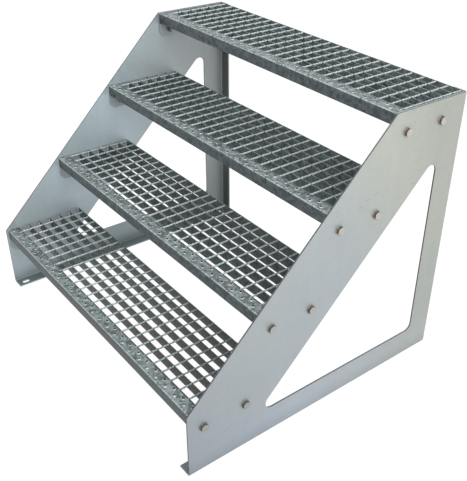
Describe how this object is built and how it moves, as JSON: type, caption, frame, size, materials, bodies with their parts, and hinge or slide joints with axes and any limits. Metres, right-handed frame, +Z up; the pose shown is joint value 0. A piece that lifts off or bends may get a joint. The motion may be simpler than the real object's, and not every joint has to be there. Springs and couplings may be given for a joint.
{
  "type": "steel staircase",
  "caption": "Free-standing steel staircase with folded sheet stringers, grating treads and punched anti-slip nosings, bolted together, with slotted feet for floor anchors.",
  "frame": {"origin": "on the floor, under the middle of the staircase's overall box", "axes": "+X along the treads to the right stringer, +Y from the front to the rear, up the flight, +Z up"},
  "size_m": [1.008, 0.8318, 0.77],
  "materials": {
    "galvanised_sheet": "galvanised, dull with a faint spangle",
    "galvanised_plate": "hot-dip galvanised, dull",
    "galvanised_grating": "hot-dip galvanised, dull, darker on the bars' sides",
    "punched_nosing": "hot-dip galvanised, punched"
  },
  "bodies": {
    "root": {"left_stringer": "galvanised_sheet", "right_stringer": "galvanised_sheet", "nosing_1": "punched_nosing", "grating_1": "galvanised_grating", "rear_bar_1": "galvanised_grating", "left_end_plate_1": "galvanised_plate", "right_end_plate_1": "galvanised_plate", "nosing_2": "punched_nosing", "grating_2": "galvanised_grating", "rear_bar_2": "galvanised_grating", "left_end_plate_2": "galvanised_plate", "right_end_plate_2": "galvanised_plate", "nosing_3": "punched_nosing", "grating_3": "galvanised_grating", "rear_bar_3": "galvanised_grating", "left_end_plate_3": "galvanised_plate", "right_end_plate_3": "galvanised_plate", "nosing_4": "punched_nosing", "grating_4": "galvanised_grating", "rear_bar_4": "galvanised_grating", "left_end_plate_4": "galvanised_plate", "right_end_plate_4": "galvanised_plate"}
  },
  "joints": []
}
